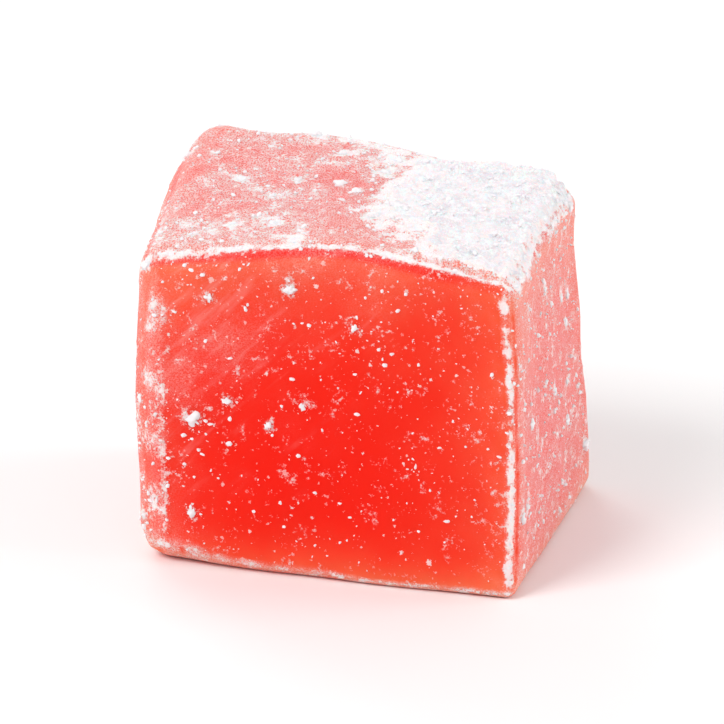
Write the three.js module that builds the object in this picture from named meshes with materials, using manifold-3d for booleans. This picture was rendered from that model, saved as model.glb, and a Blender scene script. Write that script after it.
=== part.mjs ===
// One piece of rose Turkish delight: a knife-cut block of starch jelly, dusted with sugar and starch.
// Millimetres, +Z up. The front cut face looks along -Y and is WIDTH long in X. The origin is the middle
// of the outline, on the flat base that the piece rests on.

import * as THREE from "three";
import { mergeVertices } from "three/addons/utils/BufferGeometryUtils.js";
import Module from "manifold-3d";

// Driving sizes of the block, before its corners are set off the square
const WIDTH = 23.8;
const DEPTH = 19.2;
const HEIGHT = 20.4;

// How far each corner stands off the square block, as [x, y, z]. No cut is quite upright or level
const TOP_CORNERS = {
  frontLeft: [0, 0, -0.6],
  frontRight: [-1.2, 0, -0.35],
  backLeft: [-0.9, -0.85, 2],
  backRight: [-0.75, -1.75, 0.4],
};
const BASE_CORNERS = {
  frontLeft: [0.3, 0.3, 0],
  frontRight: [-0.6, 0, 0],
  backLeft: [0.3, -0.2, 0],
  backRight: [0.15, 0, 0],
};

// The soft ridge that runs over the top from front to back. Its place is across the top, -1 to 1
const RIDGE_PLACE = 0.09;
const RIDGE_SOFTNESS = 0.16;
const RIDGE_FRONT_RISE = 1.7;
const RIDGE_BACK_RISE = 0.1;

// Edges: those made by the last clean cut are crisp, the older ones have slumped, most where two meet.
// The change from one to the other starts SLUMP_START of the way from the middle to the edge
const CRISP_RADIUS = 0.75;
const SLUMPED_RADIUS = 2.1;
const BASE_RADIUS = 0.75;
const SLUMP_START = 0.2;
const RADIUS_UNEVENNESS = 0.2;
const RADIUS_WAVES = { length: 8, phase: 0.9 };

// Sag of the soft jelly, the hollow of a cut face, and the lip that the knife drags up along its edges
const SAG = 0.2;
const SAG_PEAK = 0.62;
const HOLLOW = 0.16;
const LIP_HEIGHT = 0.12;
const LIP_INSET = 1.25;
const LIP_WIDTH = 0.7;

// Unevenness of the whole surface. Relief fades out towards the base, between two shares of the height,
// and relief of one face starts where the surface faces that way by more than FACE_SHARE
const LUMPS = [
  { length: 9.5, phase: 0.5, rise: 0.11 },
  { length: 4.1, phase: 1.5, rise: 0.05 },
];
const RELIEF_START = 0.02;
const RELIEF_FULL = 0.12;
const FACE_SHARE = 0.8;

// The waves that unevenness is made of: how many, the spread of their lengths, and the shift between them
const WAVE_COUNT = 7;
const WAVE_SHORTEST = 0.8;
const WAVE_SPREAD = 0.5;
const WAVE_SHIFT = 2.4;
const GOLDEN_ANGLE = Math.PI * (3 - Math.sqrt(5));

// Thick drift of sugar and starch on the right of the ridge, from DRIFT_START across the top in the
// middle. Its border bows out to the right by DRIFT_BOW at the front and back edges
const DRIFT_START = 0.08;
const DRIFT_BOW = 0.5;
const DRIFT_BOW_POWER = 2.5;
const DRIFT_FADE = 0.14;
const DRIFT_MARGIN = 0.93;
const DRIFT_THICKNESS = 0.3;
const DRIFT_RAGGEDNESS = 0.1;
const DRIFT_WAVES = { length: 5, phase: 2.2 };

// Clots of the dusting that stand proud of the jelly, the largest first, and how deep they sit in it.
// They are twice as likely on the drift, past DRIFT_CLOTS across the top
const CLOT_COUNT = 84;
const CLOT_SEED = 1777;
const CLOT_RADIUS_MOST = 0.46;
const CLOT_RADIUS_LEAST = 0.2;
const CLOT_SPACING = 1.2;
const CLOT_SINK = 0.35;
const CLOT_FLATNESS = 0.72;
const CLOT_REACH = 0.93;
const CLOT_TURN = [2.1, 1.3];
const CLOT_CHANCE = 0.5;
const DRIFT_CLOTS = 0.3;

// The clots that show on the bare front face, as [x from the middle, height, radius]
const FRONT_CLOTS = [
  [-8.1, 9.7, 0.5],
  [-8.3, 3.6, 0.34],
  [-6.1, 10.8, 0.27],
  [-3.5, 9.4, 0.28],
  [-1.4, 10.6, 0.25],
  [-2.1, 17.6, 0.3],
  [-7.2, 17.4, 0.28],
  [1.9, 15.5, 0.25],
];

// The seeded rule that the other clots are drawn by: factor, step and range of a linear generator
const DRAW_FACTOR = 1664525;
const DRAW_STEP = 1013904223;
const DRAW_RANGE = 2 ** 32;

// Mesh fineness: segments along each edge, how strongly the grid gathers towards the edges, the distance
// under which two vertices are one, and the step that a surface direction is measured over
const SEGMENTS = 22;
const GATHERING = 1.5;
const MERGE_DISTANCE = 1e-4;
const SLOPE_STEP = 0.02;

const half = new THREE.Vector3(WIDTH / 2, DEPTH / 2, HEIGHT / 2);
const { clamp, lerp, smoothstep } = THREE.MathUtils;

// Smooth irregular waves, roughly between -1 and 1, that cross each other in every direction
function waves(point, { length, phase }) {
  let sum = 0;
  for (let k = 0; k < WAVE_COUNT; k++) {
    const lift = 1 - (2 * k + 1) / WAVE_COUNT;
    const flat = Math.sqrt(1 - lift * lift);
    const turn = k * GOLDEN_ANGLE + phase;
    const along = flat * (Math.cos(turn) * point.x + Math.sin(turn) * point.y) + lift * point.z;
    const waveLength = length * (WAVE_SHORTEST + (WAVE_SPREAD * k) / WAVE_COUNT);
    sum += Math.sin((2 * Math.PI * along) / waveLength + WAVE_SHIFT * (k + 1) * phase);
  }
  return sum / Math.sqrt(2 * WAVE_COUNT);
}

// The offset between four corners, from 0 to 1 to the right and to the back
function blendCorners(corners, toRight, toBack) {
  return [0, 1, 2].map((axis) => {
    const front = lerp(corners.frontLeft[axis], corners.frontRight[axis], toRight);
    const back = lerp(corners.backLeft[axis], corners.backRight[axis], toRight);
    return lerp(front, back, toBack);
  });
}

// 1 on the ridge line, falling almost straight to 0 at the left and right edges of the top
function ridge(across) {
  const away = across - RIDGE_PLACE;
  const reach = away < 0 ? 1 + RIDGE_PLACE : 1 - RIDGE_PLACE;
  const rounded = (distance) => Math.hypot(distance, RIDGE_SOFTNESS) - RIDGE_SOFTNESS;
  return 1 - rounded(away) / rounded(reach);
}

// Radius of the rounding at a point of the cube from -1 to 1
function edgeRadius(unit, place) {
  const left = smoothstep(-unit.x, SLUMP_START, 1);
  const back = smoothstep(unit.y, SLUMP_START, 1);
  const base = smoothstep(-unit.z, SLUMP_START, 1);
  const upper = lerp(CRISP_RADIUS, SLUMPED_RADIUS, left + back);
  const lower = lerp(BASE_RADIUS, SLUMPED_RADIUS, left);
  return lerp(upper, lower, base) * (1 + RADIUS_UNEVENNESS * waves(place, RADIUS_WAVES));
}

// 0 to 1: how thick the drift lies at a point of the top
function drift(across, along, place) {
  const bow = DRIFT_BOW * Math.abs(along) ** DRIFT_BOW_POWER;
  const start = DRIFT_START + bow + DRIFT_RAGGEDNESS * waves(place, DRIFT_WAVES);
  const begins = smoothstep(across, start, start + DRIFT_FADE);
  const ends = 1 - smoothstep(Math.max(across, Math.abs(along)), DRIFT_MARGIN, 1);
  return begins * ends;
}

// Lip near the edge of a cut face and hollow in its middle. u and v are the place on that face, -1 to 1
function cutRelief(u, v, halfU, halfV) {
  const inset = Math.min((1 - Math.abs(u)) * halfU, (1 - Math.abs(v)) * halfV);
  const lip = LIP_HEIGHT * Math.exp(-(((inset - LIP_INSET) / LIP_WIDTH) ** 2));
  return lip - HOLLOW * (1 - u * u) * (1 - v * v);
}

// Takes a point of the cube from -1 to 1 to the surface of the piece, whose base lies at z = 0
function onSurface(unit) {
  const place = unit.clone().multiply(half);
  const radius = edgeRadius(unit, place);
  const inner = place.clone();
  for (const axis of ["x", "y", "z"]) {
    inner[axis] = clamp(place[axis], radius - half[axis], half[axis] - radius);
  }
  const normal = place.clone().sub(inner).normalize();
  const point = inner.addScaledVector(normal, radius);
  const across = point.x / half.x;
  const along = point.y / half.y;
  const up = (point.z + half.z) / HEIGHT;

  const onSide = smoothstep(Math.abs(normal.x), FACE_SHARE, 1);
  const onFront = smoothstep(Math.abs(normal.y), FACE_SHARE, 1);
  const onTop = smoothstep(normal.z, FACE_SHARE, 1);
  let relief = onSide * cutRelief(along, 2 * up - 1, half.y, half.z);
  relief += onFront * cutRelief(across, 2 * up - 1, half.x, half.z);
  relief += onTop * DRIFT_THICKNESS * drift(across, along, place);
  for (const lump of LUMPS) relief += lump.rise * waves(place, lump);
  point.addScaledVector(normal, relief * smoothstep(up, RELIEF_START, RELIEF_FULL));

  const toRight = (across + 1) / 2;
  const toBack = (along + 1) / 2;
  const top = blendCorners(TOP_CORNERS, toRight, toBack);
  const base = blendCorners(BASE_CORNERS, toRight, toBack);
  const swell = SAG * Math.sin(Math.PI * Math.pow(up, SAG_PEAK));
  const ridgeRise = lerp(RIDGE_FRONT_RISE, RIDGE_BACK_RISE, toBack) * ridge(across);
  point.x += across * swell + up * top[0] + (1 - up) ** 2 * base[0];
  point.y += along * swell + up * top[1] + (1 - up) ** 2 * base[1];
  point.z = Math.max(point.z + half.z, 0) + up * (top[2] + ridgeRise);
  return point;
}

// Gathers evenly spaced grid lines, -1 to 1, towards the edges
function gathered(line) {
  return Math.sign(line) * (1 - Math.pow(1 - Math.abs(line), GATHERING));
}

// The same geometry with only its places left, and the vertices at one place made one
function mergedPlaces(geometry) {
  geometry.deleteAttribute("normal");
  geometry.deleteAttribute("uv");
  return mergeVertices(geometry, MERGE_DISTANCE);
}

// The block itself: a fine box whose points are taken to the surface
function blockGeometry() {
  const box = mergedPlaces(new THREE.BoxGeometry(2, 2, 2, SEGMENTS, SEGMENTS, SEGMENTS));
  const position = box.getAttribute("position");
  const unit = new THREE.Vector3();
  for (let i = 0; i < position.count; i++) {
    unit.fromBufferAttribute(position, i);
    const point = onSurface(unit.set(gathered(unit.x), gathered(unit.y), gathered(unit.z)));
    position.setXYZ(i, point.x, point.y, point.z);
  }
  return box;
}

// The faces that catch the dusting: the cube's point for a place u, v on each, and the chance of a clot
const dustyFaces = [
  { at: (u, v) => new THREE.Vector3(1, u, v), chance: () => CLOT_CHANCE },
  { at: (u, v) => new THREE.Vector3(u, 1, v), chance: () => CLOT_CHANCE },
  { at: (u, v) => new THREE.Vector3(-1, u, v), chance: () => CLOT_CHANCE },
  {
    at: (u, v) => new THREE.Vector3(u, v, 1),
    chance: (u) => lerp(CLOT_CHANCE, 1, smoothstep(u, 0, DRIFT_CLOTS)),
  },
];

// The surface point and outward direction at a place u, v of a face
function spotOn(at, u, v) {
  const point = onSurface(at(u, v));
  const besideU = onSurface(at(u + SLOPE_STEP, v)).sub(point);
  const besideV = onSurface(at(u, v + SLOPE_STEP)).sub(point);
  const outward = besideU.cross(besideV).normalize();
  if (outward.dot(at(0, 0)) < 0) outward.negate();
  return { point, outward };
}

// The clots' spots and radii: the front ones where they lie, the others drawn evenly by the seeded rule
function clotSpots() {
  const front = (u, v) => new THREE.Vector3(u, -1, v);
  const spots = FRONT_CLOTS.map(([x, height, radius]) => {
    return { ...spotOn(front, x / half.x, height / half.z - 1), radius };
  });
  let state = CLOT_SEED;
  const draw = () => {
    state = (state * DRAW_FACTOR + DRAW_STEP) % DRAW_RANGE;
    return state / DRAW_RANGE;
  };
  let placed = 0;
  while (placed < CLOT_COUNT) {
    const face = dustyFaces[Math.floor(draw() * dustyFaces.length)];
    const u = lerp(-CLOT_REACH, CLOT_REACH, draw());
    const v = lerp(-CLOT_REACH, CLOT_REACH, draw());
    if (draw() > face.chance(u)) continue;
    const spot = spotOn(face.at, u, v);
    if (spots.some((other) => other.point.distanceTo(spot.point) < CLOT_SPACING)) continue;
    const share = Math.sqrt(placed / CLOT_COUNT);
    spots.push({ ...spot, radius: lerp(CLOT_RADIUS_MOST, CLOT_RADIUS_LEAST, share) });
    placed += 1;
  }
  return spots;
}

// A low twenty-sided clot, sunk a little into the surface and turned its own way
function clotGeometry({ point, outward, radius }, k) {
  const clot = new THREE.IcosahedronGeometry(radius, 0);
  clot.rotateX(CLOT_TURN[0] * k).rotateY(CLOT_TURN[1] * k).scale(1, 1, CLOT_FLATNESS);
  clot.applyQuaternion(new THREE.Quaternion().setFromUnitVectors(new THREE.Vector3(0, 0, 1), outward));
  const middle = point.clone().addScaledVector(outward, -CLOT_SINK * CLOT_FLATNESS * radius);
  return mergedPlaces(clot.translate(middle.x, middle.y, middle.z));
}

const wasm = await Module();
wasm.setup();

function toManifold(geometry) {
  const vertProperties = geometry.getAttribute("position").array;
  const triVerts = new Uint32Array(geometry.index.array);
  return new wasm.Manifold(new wasm.Mesh({ numProp: 3, vertProperties, triVerts }));
}

function toGeometry(solid) {
  const mesh = solid.getMesh();
  const geometry = new THREE.BufferGeometry();
  geometry.setAttribute("position", new THREE.BufferAttribute(mesh.vertProperties, 3));
  geometry.setIndex(new THREE.BufferAttribute(mesh.triVerts, 1));
  geometry.computeVertexNormals();
  return geometry;
}

// The block and its clots as one solid, set down with the middle of its outline over the origin
function pieceGeometry() {
  let solid = toManifold(blockGeometry());
  clotSpots().forEach((spot, k) => (solid = solid.add(toManifold(clotGeometry(spot, k)))));
  const geometry = toGeometry(solid);
  geometry.computeBoundingBox();
  const middle = geometry.boundingBox.getCenter(new THREE.Vector3());
  return geometry.translate(-middle.x, -middle.y, -geometry.boundingBox.min.z);
}

const jelly = new THREE.MeshStandardMaterial({ color: 0xf08078, roughness: 0.65, metalness: 0 });
const piece = new THREE.Mesh(pieceGeometry(), jelly);
piece.name = "rose_lokum";

const turkishDelight = new THREE.Group();
turkishDelight.add(piece);

export default turkishDelight;
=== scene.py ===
# One piece of rose Turkish delight, dressed for its picture: the red starch jelly, the film, patches
# and drift of sugar and starch on it, its clots, and the loose grains. Sizes are in millimetres and
# become metres when a mesh is made.
import math

import bmesh
import bpy
import numpy as np
from mathutils import Matrix, Vector, noise


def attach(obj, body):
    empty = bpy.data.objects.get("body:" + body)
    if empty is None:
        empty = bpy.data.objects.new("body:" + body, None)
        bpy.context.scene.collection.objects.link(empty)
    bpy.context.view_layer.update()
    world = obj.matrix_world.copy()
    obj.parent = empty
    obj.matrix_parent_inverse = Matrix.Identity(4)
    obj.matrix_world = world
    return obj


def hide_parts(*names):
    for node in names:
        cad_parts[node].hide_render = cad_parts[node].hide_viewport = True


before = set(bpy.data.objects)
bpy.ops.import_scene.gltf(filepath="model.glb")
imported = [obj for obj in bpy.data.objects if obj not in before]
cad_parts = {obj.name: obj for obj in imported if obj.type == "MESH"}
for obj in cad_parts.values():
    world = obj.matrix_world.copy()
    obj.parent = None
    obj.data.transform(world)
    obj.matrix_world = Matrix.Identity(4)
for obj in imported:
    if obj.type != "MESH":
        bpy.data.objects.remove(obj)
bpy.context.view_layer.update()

MILLIMETRE = 0.001

# Driving sizes of the block, before its corners are set off the square
WIDTH = 23.8
DEPTH = 19.2
HEIGHT = 20.4
HALF = np.array([WIDTH, DEPTH, HEIGHT]) / 2

# How far each corner stands off the square block. No cut is quite upright or level
TOP_CORNERS = {
    "front_left": [0, 0, -0.6],
    "front_right": [-1.2, 0, -0.35],
    "back_left": [-0.9, -0.85, 2],
    "back_right": [-0.75, -1.75, 0.4],
}
BASE_CORNERS = {
    "front_left": [0.3, 0.3, 0],
    "front_right": [-0.6, 0, 0],
    "back_left": [0.3, -0.2, 0],
    "back_right": [0.15, 0, 0],
}

# The soft ridge over the top. Its place is across the top, -1 to 1
RIDGE_PLACE = 0.09
RIDGE_SOFTNESS = 0.16
RIDGE_FRONT_RISE = 1.7
RIDGE_BACK_RISE = 0.1

# Rounding of the edges: crisp where the last cut made them, slumped on the left and back. Its waves
# are given as (length, phase)
CRISP_RADIUS = 0.75
SLUMPED_RADIUS = 2.1
BASE_RADIUS = 0.75
SLUMP_START = 0.2
RADIUS_UNEVENNESS = 0.2
RADIUS_WAVES = (8, 0.9)

# Sag of the jelly, the hollow of a cut face, and the lip that the knife drags up along its edges
SAG = 0.2
SAG_PEAK = 0.62
HOLLOW = 0.16
LIP_HEIGHT = 0.12
LIP_INSET = 1.25
LIP_WIDTH = 0.7

# Unevenness of the whole surface, as (wave length, phase, rise). All relief fades out towards the
# base, and the relief of a face where the surface has turned away from it
LUMPS = [(9.5, 0.5, 0.11), (4.1, 1.5, 0.05)]
RELIEF_START = 0.02
RELIEF_FULL = 0.12
FACE_SHARE = 0.8

# The irregular waves: how many cross each other, and how their lengths and phases differ
WAVE_COUNT = 7
WAVE_SHORTEST = 0.8
WAVE_SPREAD = 0.5
WAVE_SHIFT = 2.4
GOLDEN_ANGLE = math.pi * (3 - math.sqrt(5))

# Thick drift of sugar and starch on the right of the ridge. Its border bows out at the front and back,
# and is ragged by waves of a (length, phase)
DRIFT_START = 0.08
DRIFT_BOW = 0.5
DRIFT_BOW_POWER = 2.5
DRIFT_FADE = 0.14
DRIFT_MARGIN = 0.93
DRIFT_THICKNESS = 0.3
DRIFT_RAGGEDNESS = 0.1
DRIFT_WAVES = (5, 2.2)

# Clots of the dusting that stand proud, drawn by the same seeded rule as on the solid. Only some of
# those drawn are kept, but more of them towards the drift, and all on it
CLOT_COUNT = 84
CLOT_SEED = 1777
CLOT_RADIUS_MOST = 0.46
CLOT_RADIUS_LEAST = 0.2
CLOT_SPACING = 1.2
CLOT_SINK = 0.35
CLOT_FLATNESS = 0.72
CLOT_REACH = 0.93
CLOT_CHANCE = 0.5
DRIFT_CLOTS = 0.3

# The clots on the front, as (across, height, radius)
FRONT_CLOTS = [
    (-8.1, 9.7, 0.5),
    (-8.3, 3.6, 0.34),
    (-6.1, 10.8, 0.27),
    (-3.5, 9.4, 0.28),
    (-1.4, 10.6, 0.25),
    (-2.1, 17.6, 0.3),
    (-7.2, 17.4, 0.28),
    (1.9, 15.5, 0.25),
]

# The rule that draws the other clots, and the step by which the slope under a clot is measured
DRAW_FACTOR = 1664525
DRAW_STEP = 1013904223
DRAW_RANGE = 2 ** 32
SLOPE_STEP = 0.02

# Which way each face looks. A higher crispness gives the edge between two faces less width
OUTWARD = {
    "right": np.array([1, 0, 0]),
    "left": np.array([-1, 0, 0]),
    "back": np.array([0, 1, 0]),
    "front": np.array([0, -1, 0]),
    "top": np.array([0, 0, 1]),
    "base": np.array([0, 0, -1]),
}
FACE_CRISPNESS = 9

# How each face is dusted: the share that patches of powder hide, and how white the film between is
PATCHES = {"right": 0.17, "left": 0.2, "back": 0.2, "front": 0.02, "top": 0.2, "base": 0.3}
FILM = {"right": 0.25, "left": 0.22, "back": 0.22, "front": 0.001, "top": 0.42, "base": 0.3}

# The powder of the drift: its patches and film, how the broad and the small mottling fray its border
# and how much of that shows at its outer edge, how far and how sharply the border bows at the front,
# how wide it fades out, and how far it reaches beyond the thick part
DRIFT_PATCHES = 1.1
DRIFT_FILM = 0.9
DRIFT_FRAY = (0.16, 0.1)
DRIFT_EDGE_FRAY = 0.4
POWDER_BOW = (0.16, 4)
POWDER_FADE = 0.3
POWDER_LEAD = 0.06

# How much the broad and the small mottling change the patches on each face, and the broad one the film
MOTTLE_SHARES = {
    "right": (0.04, 0.14, 0.12),
    "left": (0.2, 0.12, 0.5),
    "back": (0.2, 0.12, 0.5),
    "front": (0, 0, 0.8),
    "top": (0.25, 0.1, 0.3),
    "base": (0.2, 0.12, 0.5),
}

# Where the top is dusted more or less, as (across, along, reach across, reach along, patches, film)
TOP_ZONES = [
    (-0.5, -0.72, 0.42, 0.3, 0.3, 0.12),
    (-0.55, 0.02, 0.16, 0.16, 0.2, 0.08),
    (-0.45, 0.97, 0.5, 0.2, 0.4, 0.2),
    (-0.85, 0.2, 0.22, 0.35, -0.14, -0.07),
    (-0.02, -0.2, 0.13, 0.7, -0.16, -0.08),
    (0.12, 0.78, 0.26, 0.3, 0.5, 0.2),
    (0.45, -0.25, 0.03, 0.04, -0.9, 0),
]

# The rounded left edge is dusted up to where the last cut begins. The strip narrows at the top, and
# in its lower part a line of powder lies along its border
STRIP_WIDTH = 2.0
STRIP_TOP_WIDTH = 1.4
STRIP_NARROWS = (0.8, 0.97)
STRIP_BORDER = 0.12
STRIP_PATCHES = 0.17
STRIP_FILM = 0.12
STRIP_MOTTLE = (0.4, 0.12)
STRIP_LINE = 0.32
STRIP_LINE_WIDTH = 0.22
STRIP_LINE_ENDS = (0.5, 0.75)

# The rubbed haze on the upper left of the front, with a slanting and ragged border
HAZE_SLANT = 0.55
HAZE_RAGGEDNESS = 0.4
HAZE_ENDS = (0.35, 1.3)
HAZE_FILM = 0.01
HAZE_PATCHES = 0.03

# Where the front is dusted more or less, as (across, up, reach across, reach up, patches, film): the
# smear over the haze, a band under the top edge, the border of the left strip, and the upright edges
FRONT_ZONES = [
    (-0.82, 0.6, 0.16, 0.08, 0.03, 0.06),
    (-0.62, 0.68, 0.16, 0.09, 0.03, 0.07),
    (-0.38, 0.76, 0.14, 0.07, 0.02, 0.04),
    (-0.1, 0.97, 0.7, 0.06, 0.02, 0.05),
    (0.08, 0.965, 0.2, 0.05, 0.03, 0.06),
    (0.1, 0.9, 0.45, 0.09, 0.01, 0.025),
    (-0.76, 0.53, 0.12, 0.07, 0.03, 0.03),
    (-0.78, 0.12, 0.13, 0.12, 0.03, 0.04),
    (-0.95, 0.76, 0.12, 0.16, 0.2, 0.15),
    (0.965, 0.85, 0.03, 0.25, -0.2, -0.08),
    (0.965, 0.3, 0.03, 0.28, 0.12, 0.06),
]

# Powder that spills over the top of the right side: the share of patches, the film and how far down
SPILL_PATCHES = 0.3
SPILL_FILM = 0.3
SPILL_ENDS = (0.5, 1.4)

# Powder that clings beside the right edge of the front: the share of patches, the film and how far in
MARGIN_PATCHES = 0.24
MARGIN_FILM = 0.05
MARGIN_WIDTH = 0.9

# How much paler the jelly is painted near each edge, a painted glow where light comes through it, and
# how far in that reaches. The turn at the top of a side keeps its depth of colour, as painted shade under
# the lip, and so does the upper right of the front
PALE_EDGES = {
    "top": (0.95, 3.1),
    "right": (0.7, 3.0),
    "left": (0.4, 2.5),
    "base": (1.25, 1.1),
    "front": (0.5, 2.5),
    "back": (0.5, 2.5),
}
PALE_START = (0.55, 1.05)
PALE_CORNER = 0.6
PALE_CORNER_START = (4, 8.5)
PALE_MOTTLE = 0.3

# The lines of powder along the edges: the two faces, how far the surface has turned from one to the
# other and how wide the line spreads, in degrees, and what it adds to the patches and the film. Where
# both are below 0, the powder is rubbed off. Each line fades in over the first degrees of the turn, and
# the small and the fine mottling make it ragged
EDGE_LINES = [
    ("front", "top", 46, 11, 0.62, 0.25),
    ("front", "right", 26, 16, 0.66, 0.26),
    ("front", "right", 62, 11, -0.45, -0.2),
    ("front", "base", 26, 14, 0.3, 0.4),
    ("front", "base", 64, 10, -0.4, -0.3),
    ("top", "right", 46, 12, 0.5, 0.2),
    ("top", "right", 67, 10, 0.2, 0.2),
    ("top", "back", 45, 11, 0.3, 0.1),
    ("left", "back", 45, 11, 0.25, 0.1),
    ("right", "back", 45, 11, 0.35, 0.1),
    ("right", "base", 64, 10, -0.4, -0.3),
    ("left", "base", 64, 10, -0.4, -0.3),
    ("back", "base", 64, 10, -0.4, -0.3),
]
EDGE_LINE_START = 9
EDGE_LINE_RAGGEDNESS = (0.65, 0.8)

# The skirt of finer powder round each clot
SKIRT_PATCHES = 0.3
SKIRT_WIDTH = 0.3

# The mottling of the dusting, as (size, shift of the noise), and the make-up of all noise on the
# meshes: how fast its finer layers weaken, how much finer each is, and how many there are
BROAD_MOTTLE = (2.6, 3.1)
SMALL_MOTTLE = (0.8, 7.7)
FINE_MOTTLE = (0.42, 12.3)
NOISE_LAYERS = (1.0, 2.0, 4)

# The relief of the powder: its rise, the share of the small mottling in it, and the shares of patches
# between which it rises. On the drift: the rise of the broad, the small and the fine mottling
POWDER_RISE = 0.06
POWDER_RISE_MOTTLE = 0.4
POWDER_RISE_ENDS = (0.15, 0.9)
DRIFT_LUMPS = (0.14, 0.2, 0.2)

# Mesh fineness: segments along each edge of the block and how strongly they gather towards the edges.
# Points of two faces are one where they agree to so many decimals
SEGMENTS = 128
GATHERING = 1.12
SAME_DECIMALS = 6
CLOT_SUBDIVISIONS = 3
GRAIN_SUBDIVISIONS = 1

# What lies less than this above the base is part of it
BASE_LEVEL = 0.001

# Lumpiness of a clot: how fine its lumps are, how far its noise lies from the next clot's, its smooth
# part and its rough part, and how much longer than wide it can be
CLOT_LUMPS = 1.3
CLOT_APART = (1.37, 2.61, 0.83)
CLOT_BODY = 0.9
CLOT_ROUGHNESS = 0.75
CLOT_STRETCH = 0.2

# Where loose grains lie: the least share of them, how fast more patches add to it, the share left
# between groups of them, and the mottling of the groups: the share of the small one, and the values
# where a group starts and is full
GRAINS_LEAST = 0.16
GRAINS_GAIN = 1.6
GRAINS_BETWEEN = 0.3
GRAINS_MOTTLE = 0.6
GRAINS_GATHER = (-0.5, 0.7)

# Loose grains: how many to the square millimetre where they lie thickest, their radii and their
# proportions. The higher the rarity, the fewer are large
GRAINS_PER_MM2 = 6.0
GRAIN_RADIUS_LEAST = 0.045
GRAIN_RADIUS_MOST = 0.2
GRAIN_RARITY = 3.0
GRAIN_SLIMMEST = (0.4, 0.55, 0.7)
GRAIN_WIDEST = (0.9, 1.1, 1.4)
GRAIN_UNEVENNESS = 0.15
GRAIN_UNEVENNESS_SIZE = 0.15
GRAIN_SEED = 23
GRAIN_RADIUS_SEED = 1
GRAIN_SHAPE_SEED = 2
GRAIN_TURN_SEED = 3

# Noise patterns of the finish, as (size, detail) or (size, detail, distortion), their middle value, and
# the detail of the noise that only makes shapes ragged
COARSE_PATTERN = (0.9, 3.0, 0.3)
FINE_PATTERN = (0.25, 2.0)
GRIT_PATTERN = (0.09, 1.0)
JELLY_PATTERN = (0.6, 3.0)
GRAIN_PATTERN = (0.08, 2.0)
RUB_PATTERN = (1.0, 3.0)
PATTERN_MIDDLE = 0.5
RAGGED_DETAIL = 1.0

# The bare jelly, deep in the middle of a face, and paler near its edges with a painted glow of light
# through it. Colours are linear, with alpha
JELLY_DEEP = (0.86, 0.0065, 0.0003, 1)
JELLY_GLOW = (0.9, 0.15, 0.062, 1)
JELLY_ROUGHNESS = 0.36
JELLY_SCATTER = 0.6
JELLY_SCATTER_REACH = (1.2, 0.25, 0.2)
DULL_SPECULAR = 0.1

# The powder: the film, the dust of patches and granules, the drift, and the clots and loose grains
FILM_COLOUR = (1.0, 0.89, 0.85, 1)
DUST_COLOUR = (0.97, 0.885, 0.89, 1)
DRIFT_COLOUR = (0.905, 0.905, 0.925, 1)
DRIFT_SHADED = (0.74, 0.73, 0.78, 1)
POWDER_COLOUR = (0.93, 0.905, 0.925, 1)
POWDER_SHADED = (0.885, 0.86, 0.885, 1)
POWDER_TONES = (0.3, 0.7)
POWDER_ROUGHNESS = 0.92
POWDER_SCATTER = 0.2
POWDER_SCATTER_REACH = 0.15

# Patches lie where the coarse, fine and grit patterns, in these shares, rise over a level. How far the
# patches attribute shifts that level, how soft their borders are, and how opaque they are
POWDER_MAKEUP = (0.5, 0.32, 0.18)
PATCH_SPREAD = 0.3
PATCH_SOFTNESS = 0.07
PATCH_OPACITY = 0.85

# Where the grit lets the film through or thickens it, and by how much
GRIT_TONES = (0.35, 0.65)
FILM_GRIT = (0.4, 1.7)

# How deep powder lies where it takes the look of the drift, and where that turns from shaded to bright
DRIFT_DEPTH = (0.78, 0.88)
DRIFT_TONES = (0.42, 0.57)

# Granules too small to stand proud, in three sizes: the cells that hold them, the share of cells that
# do, and how fast more patches add to it. Radii are against the cell
GRANULE_SPACING = (0.42, 0.22, 0.12)
GRANULE_SHARE = (0.036, 0.024, 0.01)
GRANULE_GAIN = 0.6
GRANULE_RADII = (0.15, 0.5)
GRANULE_SOFTNESS = 0.1
GRANULE_OPACITY = 0.8
GRANULE_FAINTEST = 0.25
GRANULE_RAGGEDNESS = (0.11, 0.3)

# The faint slanting marks where the front was rubbed: their slant, size, and the tones that show
RUB_ANGLE = math.radians(45)
RUB_SIZE = (0.5, 0.9, 3.2)
RUB_TONES = (0.5, 0.75)
RUB_OPACITY = 0.13

# The finest relief: its height, and the shares of the fine pattern, the grit and the bare jelly in it.
# The clots and loose grains have their own
SURFACE_BUMP = 0.04
FINE_BUMP = 0.9
GRIT_BUMP = 0.5
JELLY_BUMP = 0.15
POWDER_BUMP = 0.02

# The studio: a pale floor, a bright room and three soft lamps. Sizes and distances are in metres here
FLOOR_SIZE = 3.0
FLOOR_COLOUR = (0.96, 0.96, 0.96, 1)
FLOOR_ROUGHNESS = 0.8
FLOOR_SPECULAR = 0.2
WORLD_COLOUR = (1, 1, 1, 1)
WORLD_LIGHT = 0.55
LAMPS = {
    "key": {"azimuth": -35, "elevation": 45, "distance": 0.7, "size": 0.3, "power": 2.6},
    "fill": {"azimuth": 100, "elevation": 25, "distance": 0.7, "size": 0.4, "power": 1.8},
    "back": {"azimuth": 215, "elevation": 30, "distance": 0.7, "size": 0.4, "power": 1.2},
}

# The camera, looking from the right of the front face and from above, turned by a hair. It looks at
# a point at the view height, in millimetres. Its distance and its near and far limits are in metres
VIEW_AZIMUTH = 12.0
VIEW_ELEVATION = 22.0
VIEW_ROLL = 1.0
VIEW_DISTANCE = 0.78
VIEW_HEIGHT = 10.4
VIEW_LIMITS = (0.01, 10)
LENS = 650


def lerp(first, last, share):
    return first + (last - first) * share


def smoothstep(value, start, end):
    share = np.clip((value - start) / (end - start), 0, 1)
    return share * share * (3 - 2 * share)


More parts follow.
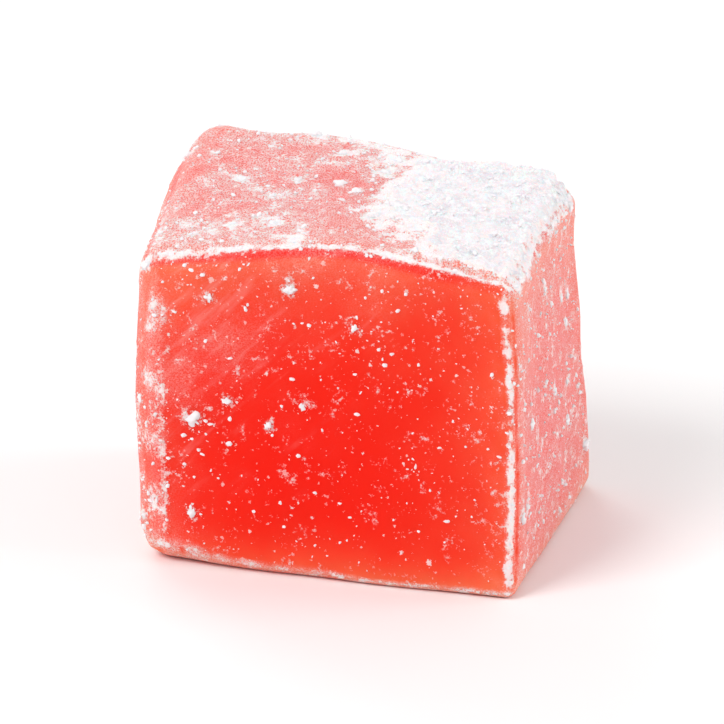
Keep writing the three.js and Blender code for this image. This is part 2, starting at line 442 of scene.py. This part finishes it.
# Smooth irregular waves, roughly between -1 and 1, that cross each other in every direction
def waves(place, length, phase):
    total = 0
    for k in range(WAVE_COUNT):
        lift = 1 - (2 * k + 1) / WAVE_COUNT
        flat = math.sqrt(1 - lift * lift)
        turn = k * GOLDEN_ANGLE + phase
        direction = np.array([flat * math.cos(turn), flat * math.sin(turn), lift])
        wave_length = length * (WAVE_SHORTEST + WAVE_SPREAD * k / WAVE_COUNT)
        total += np.sin(2 * math.pi * (place @ direction) / wave_length + WAVE_SHIFT * (k + 1) * phase)
    return total / math.sqrt(2 * WAVE_COUNT)


# The offset between four corners, from 0 to 1 to the right and to the back
def blend_corners(corners, to_right, to_back):
    place = {name: np.array(offset) for name, offset in corners.items()}
    to_right = to_right[:, None]
    front = lerp(place["front_left"], place["front_right"], to_right)
    back = lerp(place["back_left"], place["back_right"], to_right)
    return lerp(front, back, to_back[:, None])


# 1 on the ridge line, falling almost straight to 0 at the left and right edges of the top
def ridge(across):
    def rounded(distance):
        return np.hypot(distance, RIDGE_SOFTNESS) - RIDGE_SOFTNESS

    away = across - RIDGE_PLACE
    reach = np.where(away < 0, 1 + RIDGE_PLACE, 1 - RIDGE_PLACE)
    return 1 - rounded(away) / rounded(reach)


# Radius of the rounding at a point of the cube from -1 to 1
def edge_radius(unit, place):
    left = smoothstep(-unit[:, 0], SLUMP_START, 1)
    back = smoothstep(unit[:, 1], SLUMP_START, 1)
    base = smoothstep(-unit[:, 2], SLUMP_START, 1)
    upper = lerp(CRISP_RADIUS, SLUMPED_RADIUS, left + back)
    lower = lerp(BASE_RADIUS, SLUMPED_RADIUS, left)
    return lerp(upper, lower, base) * (1 + RADIUS_UNEVENNESS * waves(place, *RADIUS_WAVES))


# 0 to 1: how thick the drift lies at a point of the top, its left border moved by fray and fade wide
def drift(across, along, place, fray=0, fade=DRIFT_FADE):
    bow = DRIFT_BOW * abs(along) ** DRIFT_BOW_POWER
    start = DRIFT_START + bow + DRIFT_RAGGEDNESS * waves(place, *DRIFT_WAVES) + fray
    begins = smoothstep(across, start, start + fade)
    ends = 1 - smoothstep(np.maximum(across, abs(along)) + DRIFT_EDGE_FRAY * fray, DRIFT_MARGIN, 1)
    return begins * ends


# Lip near the edge of a cut face and hollow in its middle. u and v are the place on that face, -1 to 1
def cut_relief(u, v, half_u, half_v):
    inset = np.minimum((1 - abs(u)) * half_u, (1 - abs(v)) * half_v)
    lip = LIP_HEIGHT * np.exp(-(((inset - LIP_INSET) / LIP_WIDTH) ** 2))
    return lip - HOLLOW * (1 - u * u) * (1 - v * v)


# Takes points of the cube from -1 to 1 to the surface of the piece, whose base lies at z = 0.
# dress gives the finer relief and the finish at each point, or is left out for the bare form
def on_surface(unit, dress=None):
    place = unit * HALF
    radius = edge_radius(unit, place)[:, None]
    inner = np.clip(place, radius - HALF, HALF - radius)
    normal = place - inner
    normal /= np.linalg.norm(normal, axis=1, keepdims=True)
    point = inner + normal * radius
    across = point[:, 0] / HALF[0]
    along = point[:, 1] / HALF[1]
    up = (point[:, 2] + HALF[2]) / HEIGHT

    on_side = smoothstep(abs(normal[:, 0]), FACE_SHARE, 1)
    on_front = smoothstep(abs(normal[:, 1]), FACE_SHARE, 1)
    on_top = smoothstep(normal[:, 2], FACE_SHARE, 1)
    relief = on_side * cut_relief(along, 2 * up - 1, HALF[1], HALF[2])
    relief += on_front * cut_relief(across, 2 * up - 1, HALF[0], HALF[2])
    relief += on_top * DRIFT_THICKNESS * drift(across, along, place)
    for length, phase, rise in LUMPS:
        relief += rise * waves(place, length, phase)
    finish = None
    if dress:
        fine, finish = dress(place, normal, across, along, up)
        relief += fine
    point += normal * (relief * smoothstep(up, RELIEF_START, RELIEF_FULL))[:, None]

    to_right = (across + 1) / 2
    to_back = (along + 1) / 2
    upright = up[:, None]
    top = blend_corners(TOP_CORNERS, to_right, to_back)
    base = blend_corners(BASE_CORNERS, to_right, to_back)
    swell = SAG * np.sin(math.pi * np.clip(up, 0, 1) ** SAG_PEAK)
    rise = lerp(RIDGE_FRONT_RISE, RIDGE_BACK_RISE, to_back) * ridge(across)
    moved = point + upright * top + (1 - upright) ** 2 * base
    moved[:, 0] += across * swell
    moved[:, 1] += along * swell
    moved[:, 2] = np.maximum(point[:, 2] + HALF[2], 0) + up * (top[:, 2] + rise)
    return moved, finish


# Uneven noise in about -1 to 1 at each place, for features about size across
def mottle(place, size, shift):
    return np.array([noise.fractal(Vector(p), *NOISE_LAYERS) for p in place / size + shift])


# The share of each face in the surface's direction: nearly 1 for one of them, except on an edge
def facing_shares(normal):
    shares = {face: np.maximum(normal @ out, 0) ** FACE_CRISPNESS for face, out in OUTWARD.items()}
    total = sum(shares.values())
    return {face: share / total for face, share in shares.items()}


# 1 along an edge, where the surface has turned by angle from one face towards another
def edge_line(normal, face, other, angle, spread):
    one = normal @ OUTWARD[face]
    two = normal @ OUTWARD[other]
    turned = np.degrees(np.arctan2(two, one))
    begins = smoothstep(turned, 0, EDGE_LINE_START)
    return begins * np.exp(-(((turned - angle) / spread) ** 2)) * np.hypot(one, two)


# The painted glow of light through the jelly at each point: paler near the edges of the face that it is on
def painted_glow(place, on, broad):
    pale = 0
    for face, (share, reach) in PALE_EDGES.items():
        inset = abs(OUTWARD[face]) @ HALF - place @ OUTWARD[face]
        near = np.exp(-inset / reach) * (1 - on[face])
        if face == "top":
            # No painted glow just under the top edge, which leaves a thin painted shade under the lip
            near *= smoothstep(inset, *PALE_START)
            near *= 1 - PALE_CORNER * on["front"] * smoothstep(place[:, 0], *PALE_CORNER_START)
        pale += share * near
    return np.clip(pale * (1 + PALE_MOTTLE * broad), 0, 1)


# Adds to the patches and the film of a face what its zones say, at places one and two on it
def add_zones(zones, on_face, one, two, patches, film):
    for centre_one, centre_two, reach_one, reach_two, hidden, white in zones:
        away = ((one - centre_one) / reach_one) ** 2 + ((two - centre_two) / reach_two) ** 2
        zone = on_face * np.exp(-away)
        patches += hidden * zone
        film += white * zone


# The share of the loose grains that lies at each point: more on patches, and gathered in groups
def grains_lying(patches, broad, small, up):
    powdered = lerp(GRAINS_LEAST, 1, np.clip(patches * GRAINS_GAIN, 0, 1))
    gathered = lerp(GRAINS_BETWEEN, 1, smoothstep(broad + GRAINS_MOTTLE * small, *GRAINS_GATHER))
    return powdered * gathered * smoothstep(up, RELIEF_START, RELIEF_FULL)


# How much powder lies on each point of the block, and the fine relief that it makes
def dusting(place, normal, across, along, up):
    on = facing_shares(normal)
    broad = mottle(place, *BROAD_MOTTLE)
    small = mottle(place, *SMALL_MOTTLE)
    fine = mottle(place, *FINE_MOTTLE)
    patches = sum(on[face] * PATCHES[face] for face in OUTWARD)
    film = sum(on[face] * FILM[face] for face in OUTWARD)
    broad_share, small_share, film_share = (
        sum(on[face] * MOTTLE_SHARES[face][k] for face in OUTWARD) for k in range(3)
    )

    width = lerp(STRIP_WIDTH, STRIP_TOP_WIDTH, smoothstep(up, *STRIP_NARROWS))
    width += STRIP_BORDER * (broad + small)
    inset = (across + 1) * HALF[0]
    strip = on["front"] * (1 - smoothstep(inset, width - STRIP_BORDER, width + STRIP_BORDER))
    patches = lerp(patches, STRIP_PATCHES, strip)
    film = lerp(film, STRIP_FILM, strip)
    broad_share = lerp(broad_share, STRIP_MOTTLE[0], strip)
    small_share = lerp(small_share, STRIP_MOTTLE[1], strip)
    line = np.exp(-(((inset - width) / STRIP_LINE_WIDTH) ** 2)) * (1 - smoothstep(up, *STRIP_LINE_ENDS))
    patches += STRIP_LINE * on["front"] * line

    rub = on["front"] * smoothstep(up - HAZE_SLANT * across + HAZE_RAGGEDNESS * broad, *HAZE_ENDS)
    film += HAZE_FILM * rub
    patches += HAZE_PATCHES * rub
    add_zones(FRONT_ZONES, on["front"], across, up, patches, film)

    uneven = 1 + small + fine
    spilt = on["right"] * (1 - smoothstep(HALF[2] - place[:, 2], *SPILL_ENDS)) * uneven
    patches += SPILL_PATCHES * spilt
    film += SPILL_FILM * spilt

    clinging = on["front"] * np.exp(-(1 - across) * HALF[0] / MARGIN_WIDTH) * uneven
    patches += MARGIN_PATCHES * clinging
    film += MARGIN_FILM * clinging

    patches += broad_share * broad + small_share * small
    film *= 1 + film_share * broad
    add_zones(TOP_ZONES, on["top"], across, along, patches, film)

    fray = DRIFT_FRAY[0] * broad + DRIFT_FRAY[1] * small - POWDER_LEAD
    fray += POWDER_BOW[0] * np.maximum(-along, 0) ** POWDER_BOW[1]
    drifted = on["top"] * drift(across, along, place, fray, POWDER_FADE)
    patches += DRIFT_PATCHES * drifted
    film = lerp(film, DRIFT_FILM, drifted)

    ragged = 1 + EDGE_LINE_RAGGEDNESS[0] * small + EDGE_LINE_RAGGEDNESS[1] * fine
    for face, other, angle, spread, hidden, white in EDGE_LINES:
        line = edge_line(normal, face, other, angle, spread) * ragged
        patches += hidden * line
        film += white * line

    relief = POWDER_RISE * smoothstep(patches + POWDER_RISE_MOTTLE * small, *POWDER_RISE_ENDS)
    relief += drifted * (DRIFT_LUMPS[0] * broad + DRIFT_LUMPS[1] * small + DRIFT_LUMPS[2] * fine)
    finish = {
        "patches": patches,
        "film": np.clip(film, 0, 1),
        "rub": rub,
        # pale holds the painted glow of light through the jelly near its edges
        "pale": painted_glow(place, on, broad),
        "grains": grains_lying(patches, broad, small, up),
    }
    return relief, finish


# Faces of the cube as a fine grid of quads, its points made one where the faces meet
def cube_grid(segments, gathering):
    line = np.linspace(-1, 1, segments + 1)
    line = np.sign(line) * (1 - (1 - abs(line)) ** gathering)
    u, v = np.meshgrid(line, line, indexing="ij")
    corner = np.arange(segments * (segments + 1)).reshape(segments, segments + 1)[:, :-1].ravel()
    step = segments + 1
    quad = np.stack([corner, corner + step, corner + step + 1, corner + 1], axis=1)
    points, quads = [], []
    for axis in range(3):
        for side in (-1, 1):
            sheet = np.empty((u.size, 3))
            sheet[:, axis] = side
            sheet[:, (axis + 1) % 3] = u.ravel()
            sheet[:, (axis + 2) % 3] = v.ravel()
            quads.append((quad if side > 0 else quad[:, ::-1]) + len(points) * u.size)
            points.append(sheet)
    points = np.concatenate(points)
    quads = np.concatenate(quads)
    rounded = np.round(points, SAME_DECIMALS)
    _, first, same = np.unique(rounded, axis=0, return_index=True, return_inverse=True)
    return points[first], same.ravel()[quads]


# The shift that lays the bare form's flat base on that of the solid, which is centred on the origin
def centring(unit):
    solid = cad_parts["rose_lokum"].data.vertices
    base = np.array([vertex.co for vertex in solid if vertex.co.z < BASE_LEVEL * MILLIMETRE]) / MILLIMETRE
    bare, _ = on_surface(unit)
    under = bare[bare[:, 2] < BASE_LEVEL]
    shift = (base.min(axis=0) + base.max(axis=0) - under.min(axis=0) - under.max(axis=0)) / 2
    return np.array([shift[0], shift[1], 0])


# An object of one mesh and one material. Its points are given in millimetres
def new_piece(name, points, faces, material):
    mesh = bpy.data.meshes.new(name)
    mesh.from_pydata((points * MILLIMETRE).tolist(), [], faces.tolist())
    mesh.validate()
    mesh.shade_smooth()
    mesh.materials.append(material)
    piece = bpy.data.objects.new(name, mesh)
    bpy.context.scene.collection.objects.link(piece)
    return piece


# The block, with what the finish needs at each point as attributes of its mesh
def jelly_block(unit, quads, spots, shift, material):
    points, finish = on_surface(unit, dusting)
    for point, _, radius in spots:
        beyond = np.maximum(np.linalg.norm(points - point, axis=1) - radius, 0)
        finish["patches"] += SKIRT_PATCHES * np.exp(-((beyond / SKIRT_WIDTH) ** 2))
    block = new_piece("jelly_block", points + shift, quads, material)
    for name, values in finish.items():
        layer = block.data.attributes.new(name, "FLOAT", "POINT")
        layer.data.foreach_set("value", values.astype(np.float32))
    return block


# The faces that catch the dusting: the cube's point for a place u, v on each, and the chance of a clot
DUSTY_FACES = [
    (lambda u, v: (1, u, v), lambda u: CLOT_CHANCE),
    (lambda u, v: (u, 1, v), lambda u: CLOT_CHANCE),
    (lambda u, v: (-1, u, v), lambda u: CLOT_CHANCE),
    (lambda u, v: (u, v, 1), lambda u: lerp(CLOT_CHANCE, 1, float(smoothstep(u, 0, DRIFT_CLOTS)))),
]


# The surface point and outward direction at a place u, v of a face
def spot_on(at, u, v):
    unit = np.array([at(u, v), at(u + SLOPE_STEP, v), at(u, v + SLOPE_STEP)], float)
    (point, beside_u, beside_v), _ = on_surface(unit)
    outward = np.cross(beside_u - point, beside_v - point)
    outward /= np.linalg.norm(outward)
    if outward @ np.array(at(0, 0)) < 0:
        outward = -outward
    return point, outward


# The clots' spots and radii: the front ones where they lie, the others drawn evenly by the seeded rule
def clot_spots():
    spots = []
    for x, height, radius in FRONT_CLOTS:
        spots.append((*spot_on(lambda u, v: (u, -1, v), x / HALF[0], height / HALF[2] - 1), radius))
    state = CLOT_SEED

    def draw():
        nonlocal state
        state = (state * DRAW_FACTOR + DRAW_STEP) % DRAW_RANGE
        return state / DRAW_RANGE

    placed = 0
    while placed < CLOT_COUNT:
        at, chance = DUSTY_FACES[math.floor(draw() * len(DUSTY_FACES))]
        u = lerp(-CLOT_REACH, CLOT_REACH, draw())
        v = lerp(-CLOT_REACH, CLOT_REACH, draw())
        if draw() > chance(u):
            continue
        point, outward = spot_on(at, u, v)
        if any(np.linalg.norm(point - other[0]) < CLOT_SPACING for other in spots):
            continue
        share = math.sqrt(placed / CLOT_COUNT)
        spots.append((point, outward, lerp(CLOT_RADIUS_MOST, CLOT_RADIUS_LEAST, share)))
        placed += 1
    return spots


# A unit ball of small triangles, as points and faces
def ball(subdivisions):
    shape = bmesh.new()
    bmesh.ops.create_icosphere(shape, subdivisions=subdivisions, radius=1)
    points = np.array([vertex.co for vertex in shape.verts])
    faces = np.array([[vertex.index for vertex in face.verts] for face in shape.faces])
    shape.free()
    return points, faces


# The clots of powder: lumpy balls, flattened and sunk a little into the surface
def powder_clots(spots, shift, material):
    ball_points, ball_faces = ball(CLOT_SUBDIVISIONS)
    points, faces = [], []
    for k, (point, outward, radius) in enumerate(spots):
        apart = Vector(CLOT_APART) * (k + 1)
        places = [Vector(p) * CLOT_LUMPS + apart for p in ball_points]
        lumps = np.array([noise.fractal(place, *NOISE_LAYERS) for place in places])
        clot = ball_points * (CLOT_BODY + CLOT_ROUGHNESS * lumps)[:, None]
        stretch = 1 + CLOT_STRETCH * math.sin(GOLDEN_ANGLE * (k + 1))
        clot *= radius * np.array([stretch, 1 / stretch, CLOT_FLATNESS])
        turn = np.array(Vector(outward).to_track_quat("Z", "Y").to_matrix())
        middle = point - CLOT_SINK * CLOT_FLATNESS * radius * outward
        faces.append(ball_faces + k * len(ball_points))
        points.append(clot @ turn.T + middle + shift)
    return new_piece("powder_clots", np.concatenate(points), np.concatenate(faces), material)


# A node of a tree. inputs gives each input's value, or the output that is linked to it
def add_node(tree, kind, inputs=None, **settings):
    node = tree.nodes.new(kind)
    for name, value in settings.items():
        setattr(node, name, value)
    for key, value in (inputs or {}).items():
        if isinstance(value, bpy.types.NodeSocket):
            tree.links.new(value, node.inputs[key])
        else:
            node.inputs[key].default_value = value
    return node


def calculated(tree, operation, first, second, third=0.0):
    return add_node(tree, "ShaderNodeMath", {0: first, 1: second, 2: third}, operation=operation).outputs[0]


def random_vector(tree, least, most, seed):
    inputs = {0: least, 1: most, "Seed": seed}
    return add_node(tree, "FunctionNodeRandomValue", inputs, data_type="FLOAT_VECTOR").outputs[0]


# Scatters small irregular grains over a surface, as many as its "grains" attribute says
def grain_tree():
    tree = bpy.data.node_groups.new("loose_grains", "GeometryNodeTree")
    tree.interface.new_socket("Surface", in_out="INPUT", socket_type="NodeSocketGeometry")
    for name in ("Grains per square metre", "Smallest radius", "Largest radius", "Roughness"):
        tree.interface.new_socket(name, in_out="INPUT", socket_type="NodeSocketFloat")
    tree.interface.new_socket("Seed", in_out="INPUT", socket_type="NodeSocketInt")
    tree.interface.new_socket("Finish", in_out="INPUT", socket_type="NodeSocketMaterial")
    tree.interface.new_socket("Grains", in_out="OUTPUT", socket_type="NodeSocketGeometry")
    given = add_node(tree, "NodeGroupInput").outputs
    lying = add_node(
        tree, "GeometryNodeInputNamedAttribute", {"Name": "grains"}, data_type="FLOAT"
    ).outputs[0]
    density = calculated(tree, "MULTIPLY", given["Grains per square metre"], lying)
    points = add_node(
        tree,
        "GeometryNodeDistributePointsOnFaces",
        {"Mesh": given["Surface"], "Density": density, "Seed": given["Seed"]},
    ).outputs["Points"]
    chance = add_node(
        tree, "FunctionNodeRandomValue", {"Seed": GRAIN_RADIUS_SEED}, data_type="FLOAT"
    ).outputs[1]
    rare = calculated(tree, "POWER", chance, GRAIN_RARITY)
    radius = add_node(
        tree,
        "ShaderNodeMapRange",
        {"Value": rare, "To Min": given["Smallest radius"], "To Max": given["Largest radius"]},
    ).outputs[0]
    shape = random_vector(tree, GRAIN_SLIMMEST, GRAIN_WIDEST, GRAIN_SHAPE_SEED)
    scale = add_node(
        tree, "ShaderNodeVectorMath", {0: shape, "Scale": radius}, operation="SCALE"
    ).outputs[0]
    angles = random_vector(tree, (0, 0, 0), (math.tau,) * 3, GRAIN_TURN_SEED)
    turn = add_node(tree, "FunctionNodeEulerToRotation", {0: angles}).outputs[0]
    ball = {"Radius": 1.0, "Subdivisions": GRAIN_SUBDIVISIONS}
    grain = add_node(tree, "GeometryNodeMeshIcoSphere", ball).outputs["Mesh"]
    placed = add_node(
        tree,
        "GeometryNodeInstanceOnPoints",
        {"Points": points, "Instance": grain, "Rotation": turn, "Scale": scale},
    ).outputs[0]
    real = add_node(tree, "GeometryNodeRealizeInstances", {0: placed}).outputs[0]
    unevenness = {"Scale": 1 / (GRAIN_UNEVENNESS_SIZE * MILLIMETRE), "Detail": RAGGED_DETAIL}
    uneven = add_node(tree, "ShaderNodeTexNoise", unevenness).outputs["Color"]
    centred = add_node(
        tree, "ShaderNodeVectorMath", {0: uneven, 1: (PATTERN_MIDDLE,) * 3}, operation="SUBTRACT"
    ).outputs[0]
    offset = add_node(
        tree, "ShaderNodeVectorMath", {0: centred, "Scale": given["Roughness"]}, operation="SCALE"
    ).outputs[0]
    rough = add_node(tree, "GeometryNodeSetPosition", {"Geometry": real, "Offset": offset}).outputs[0]
    finished = add_node(
        tree, "GeometryNodeSetMaterial", {"Geometry": rough, "Material": given["Finish"]}
    ).outputs[0]
    add_node(tree, "NodeGroupOutput", {"Grains": finished})
    return tree


# The loose grains on the block, as one plain mesh
def loose_grains(block, material):
    carrier = bpy.data.objects.new("grain_carrier", block.data.copy())
    bpy.context.scene.collection.objects.link(carrier)
    modifier = carrier.modifiers.new("grains", "NODES")
    modifier.node_group = grain_tree()
    values = {
        "Grains per square metre": GRAINS_PER_MM2 / MILLIMETRE ** 2,
        "Smallest radius": GRAIN_RADIUS_LEAST * MILLIMETRE,
        "Largest radius": GRAIN_RADIUS_MOST * MILLIMETRE,
        "Roughness": GRAIN_UNEVENNESS * MILLIMETRE,
        "Seed": GRAIN_SEED,
        "Finish": material,
    }
    for item in modifier.node_group.interface.items_tree:
        if item.in_out == "INPUT" and item.name in values:
            modifier[item.identifier] = values[item.name]
    evaluated = carrier.evaluated_get(bpy.context.evaluated_depsgraph_get())
    mesh = bpy.data.meshes.new_from_object(evaluated)
    carrier.modifiers.clear()
    bpy.data.objects.remove(carrier)
    mesh.name = "loose_grains"
    grains = bpy.data.objects.new("loose_grains", mesh)
    bpy.context.scene.collection.objects.link(grains)
    return grains


# A blend of two numbers, or of two colours. The node has sockets of its own for either
def mixed(tree, share, first, second):
    if isinstance(first, (int, float)):
        kind, one, two, result = "FLOAT", 2, 3, 0
    else:
        kind, one, two, result = "RGBA", 6, 7, 2
    node = add_node(tree, "ShaderNodeMix", {0: share, one: first, two: second}, data_type=kind)
    return node.outputs[result]


# Noise whose features are size millimetres across
def pattern(tree, place, size, detail, distortion=0.0):
    inputs = {"Vector": place, "Scale": 1 / size, "Detail": detail, "Distortion": distortion}
    return add_node(tree, "ShaderNodeTexNoise", inputs).outputs[0]


# 0 below the start and 1 above the end, smooth between
def stepped(tree, value, start, end):
    inputs = {"Value": value, "From Min": start, "From Max": end}
    return add_node(tree, "ShaderNodeMapRange", inputs, interpolation_type="SMOOTHSTEP").outputs[0]


# A material, its tree and its shader, and the place of a point in millimetres
def new_material(name):
    material = bpy.data.materials.new(name)
    material.use_nodes = True
    tree = material.node_tree
    shader = next(node for node in tree.nodes if node.type == "BSDF_PRINCIPLED")
    place = add_node(tree, "ShaderNodeTexCoord").outputs["Object"]
    in_millimetres = {"Vector": place, "Scale": (1 / MILLIMETRE,) * 3}
    place = add_node(tree, "ShaderNodeMapping", in_millimetres).outputs[0]
    return material, tree, shader, place


# Gives a shader the relief of height, which is rise millimetres high
def bumped(tree, shader, height, rise):
    inputs = {"Height": height, "Distance": rise * MILLIMETRE, "Strength": 1.0}
    bump = add_node(tree, "ShaderNodeBump", inputs)
    tree.links.new(bump.outputs[0], shader.inputs["Normal"])


# What shows where one veil lies over another
def veiled(tree, under, over, opacity):
    seen = calculated(tree, "MULTIPLY", over, opacity)
    return calculated(tree, "MULTIPLY_ADD", calculated(tree, "SUBTRACT", 1.0, under), seen, under)


# The place moved about unevenly, which makes what is drawn by it ragged
def ragged(tree, place, size, shift):
    inputs = {"Vector": place, "Scale": 1 / size, "Detail": RAGGED_DETAIL}
    noisy = add_node(tree, "ShaderNodeTexNoise", inputs).outputs["Color"]
    centred = {0: noisy, 1: (-PATTERN_MIDDLE,) * 3}
    centred = add_node(tree, "ShaderNodeVectorMath", centred, operation="ADD").outputs[0]
    moved = {0: centred, 1: (shift,) * 3, 2: place}
    return add_node(tree, "ShaderNodeVectorMath", moved, operation="MULTIPLY_ADD").outputs[0]


# Uneven grains, one to a cell about spacing millimetres wide, in the share of cells that amount gives
def granules(tree, place, spacing, amount):
    cells = add_node(tree, "ShaderNodeTexVoronoi", {"Vector": place, "Scale": 1 / spacing}).outputs
    chance = add_node(tree, "ShaderNodeSeparateColor", {0: cells["Color"]}).outputs
    present = calculated(tree, "LESS_THAN", chance[0], amount)
    seen = calculated(tree, "MULTIPLY_ADD", chance[2], 1 - GRANULE_FAINTEST, GRANULE_FAINTEST)
    smallest, largest = GRANULE_RADII
    radius = calculated(tree, "MULTIPLY_ADD", chance[1], largest - smallest, smallest)
    depth = calculated(tree, "SUBTRACT", radius, cells["Distance"])
    shape = stepped(tree, depth, 0.0, GRANULE_SOFTNESS)
    return calculated(tree, "MULTIPLY", shape, calculated(tree, "MULTIPLY", present, seen))


# Red starch jelly under its dusting: film, opaque patches, and granules too small to stand proud
def dusted_jelly():
    material, tree, shader, place = new_material("dusted_jelly")
    lies = {
        name: add_node(tree, "ShaderNodeAttribute", attribute_name=name).outputs["Fac"]
        for name in ("patches", "film", "rub", "pale")
    }
    coarse = pattern(tree, place, *COARSE_PATTERN)
    fine = pattern(tree, place, *FINE_PATTERN)
    grit = pattern(tree, place, *GRIT_PATTERN)
    mottled = calculated(tree, "MULTIPLY", grit, POWDER_MAKEUP[2])
    mottled = calculated(tree, "MULTIPLY_ADD", fine, POWDER_MAKEUP[1], mottled)
    mottled = calculated(tree, "MULTIPLY_ADD", coarse, POWDER_MAKEUP[0], mottled)
    lying = calculated(tree, "MULTIPLY_ADD", lies["patches"], PATCH_SPREAD, mottled)
    level = PATTERN_MIDDLE + PATCH_SPREAD / 2
    patches = stepped(tree, lying, level - PATCH_SOFTNESS, level + PATCH_SOFTNESS)
    grainy = mixed(tree, stepped(tree, grit, *GRIT_TONES), *FILM_GRIT)
    thickness = calculated(tree, "ADD", coarse, 1 - PATTERN_MIDDLE)
    veil = calculated(tree, "MULTIPLY", lies["film"], thickness)
    veil = calculated(tree, "MULTIPLY", veil, grainy)
    uneven = ragged(tree, place, *GRANULE_RAGGEDNESS)
    slant = {"Vector": place, "Rotation": (0, RUB_ANGLE, 0), "Scale": RUB_SIZE}
    slanted = add_node(tree, "ShaderNodeMapping", slant, vector_type="TEXTURE").outputs[0]
    streaks = stepped(tree, pattern(tree, slanted, *RUB_PATTERN), *RUB_TONES)
    streaks = calculated(tree, "MULTIPLY", streaks, lies["rub"])

    white = veiled(tree, veil, streaks, RUB_OPACITY)
    white = veiled(tree, white, patches, PATCH_OPACITY)
    for spacing, share in zip(GRANULE_SPACING, GRANULE_SHARE):
        amount = calculated(tree, "MULTIPLY_ADD", lies["patches"], GRANULE_GAIN, share)
        white = veiled(tree, white, granules(tree, uneven, spacing, amount), GRANULE_OPACITY)

    # The jelly's own deep red, with the painted glow of light through it near the edges
    jelly = mixed(tree, lies["pale"], JELLY_DEEP, JELLY_GLOW)
    deep = mixed(tree, stepped(tree, mottled, *DRIFT_TONES), DRIFT_SHADED, DRIFT_COLOUR)
    heaped = mixed(tree, stepped(tree, lying, *DRIFT_DEPTH), DUST_COLOUR, deep)
    powder = mixed(tree, white, FILM_COLOUR, heaped)
    colour = mixed(tree, white, jelly, powder)
    roughness = mixed(tree, white, JELLY_ROUGHNESS, POWDER_ROUGHNESS)
    tree.links.new(colour, shader.inputs["Base Color"])
    tree.links.new(roughness, shader.inputs["Roughness"])
    shader.inputs["Specular IOR Level"].default_value = DULL_SPECULAR
    shader.inputs["Subsurface Weight"].default_value = JELLY_SCATTER
    shader.inputs["Subsurface Radius"].default_value = JELLY_SCATTER_REACH
    shader.inputs["Subsurface Scale"].default_value = MILLIMETRE
    height = calculated(tree, "MULTIPLY_ADD", calculated(tree, "MULTIPLY", fine, white), FINE_BUMP, white)
    height = calculated(tree, "MULTIPLY_ADD", calculated(tree, "MULTIPLY", grit, white), GRIT_BUMP, height)
    height = calculated(tree, "MULTIPLY_ADD", pattern(tree, place, *JELLY_PATTERN), JELLY_BUMP, height)
    bumped(tree, shader, height, SURFACE_BUMP)
    return material


# Loose white powder: matt, faintly uneven in tone
def starch_powder():
    material, tree, shader, place = new_material("starch_powder")
    tone = stepped(tree, pattern(tree, place, *FINE_PATTERN), *POWDER_TONES)
    colour = mixed(tree, tone, POWDER_SHADED, POWDER_COLOUR)
    tree.links.new(colour, shader.inputs["Base Color"])
    shader.inputs["Roughness"].default_value = POWDER_ROUGHNESS
    shader.inputs["Specular IOR Level"].default_value = DULL_SPECULAR
    shader.inputs["Subsurface Weight"].default_value = POWDER_SCATTER
    shader.inputs["Subsurface Radius"].default_value = (1, 1, 1)
    shader.inputs["Subsurface Scale"].default_value = POWDER_SCATTER_REACH * MILLIMETRE
    bumped(tree, shader, pattern(tree, place, *GRAIN_PATTERN), POWDER_BUMP)
    return material


def pale_floor():
    bpy.ops.mesh.primitive_plane_add(size=FLOOR_SIZE)
    floor = bpy.context.object
    floor.name = "pale_floor"
    material, _, shader, _ = new_material("pale_floor")
    shader.inputs["Base Color"].default_value = FLOOR_COLOUR
    shader.inputs["Roughness"].default_value = FLOOR_ROUGHNESS
    shader.inputs["Specular IOR Level"].default_value = FLOOR_SPECULAR
    floor.data.materials.append(material)


# A square lamp, looking at the middle of the piece. Azimuth 0 is in front, 90 to the right
def soft_lamp(name, azimuth, elevation, distance, size, power):
    lamp = bpy.data.lights.new(name, "AREA")
    lamp.size = size
    lamp.energy = power
    light = bpy.data.objects.new(name, lamp)
    bpy.context.scene.collection.objects.link(light)
    aim(light, azimuth, elevation, distance)


# Puts an object at a distance from the middle of the piece and turns its -Z towards it
def aim(thing, azimuth, elevation, distance, roll=0.0):
    turn, lift = math.radians(azimuth), math.radians(elevation)
    back = Vector((math.sin(turn) * math.cos(lift), -math.cos(turn) * math.cos(lift), math.sin(lift)))
    middle = Vector((0, 0, VIEW_HEIGHT * MILLIMETRE))
    facing = (-back).to_track_quat("-Z", "Y").to_matrix() @ Matrix.Rotation(math.radians(roll), 3, "Z")
    thing.matrix_world = Matrix.Translation(middle + back * distance) @ facing.to_4x4()


def studio():
    scene = bpy.context.scene
    scene.view_settings.view_transform = "Standard"
    world = bpy.data.worlds.new("studio")
    world.use_nodes = True
    background = next(node for node in world.node_tree.nodes if node.type == "BACKGROUND")
    background.inputs["Color"].default_value = WORLD_COLOUR
    background.inputs["Strength"].default_value = WORLD_LIGHT
    scene.world = world
    for name, lamp in LAMPS.items():
        soft_lamp(name, **lamp)
    camera = bpy.data.objects.new("camera", bpy.data.cameras.new("camera"))
    camera.data.lens = LENS
    camera.data.clip_start, camera.data.clip_end = VIEW_LIMITS
    scene.collection.objects.link(camera)
    aim(camera, VIEW_AZIMUTH, VIEW_ELEVATION, VIEW_DISTANCE, VIEW_ROLL)
    scene.camera = camera


def main():
    unit, quads = cube_grid(SEGMENTS, GATHERING)
    shift = centring(unit)
    powder = starch_powder()
    spots = clot_spots()
    block = jelly_block(unit, quads, spots, shift, dusted_jelly())
    clots = powder_clots(spots, shift, powder)
    grains = loose_grains(block, powder)
    for piece, slot in ((block, "rose_jelly"), (clots, "starch_dust"), (grains, "starch_dust")):
        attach(piece, "root")
    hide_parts("rose_lokum")
    pale_floor()
    studio()


main()
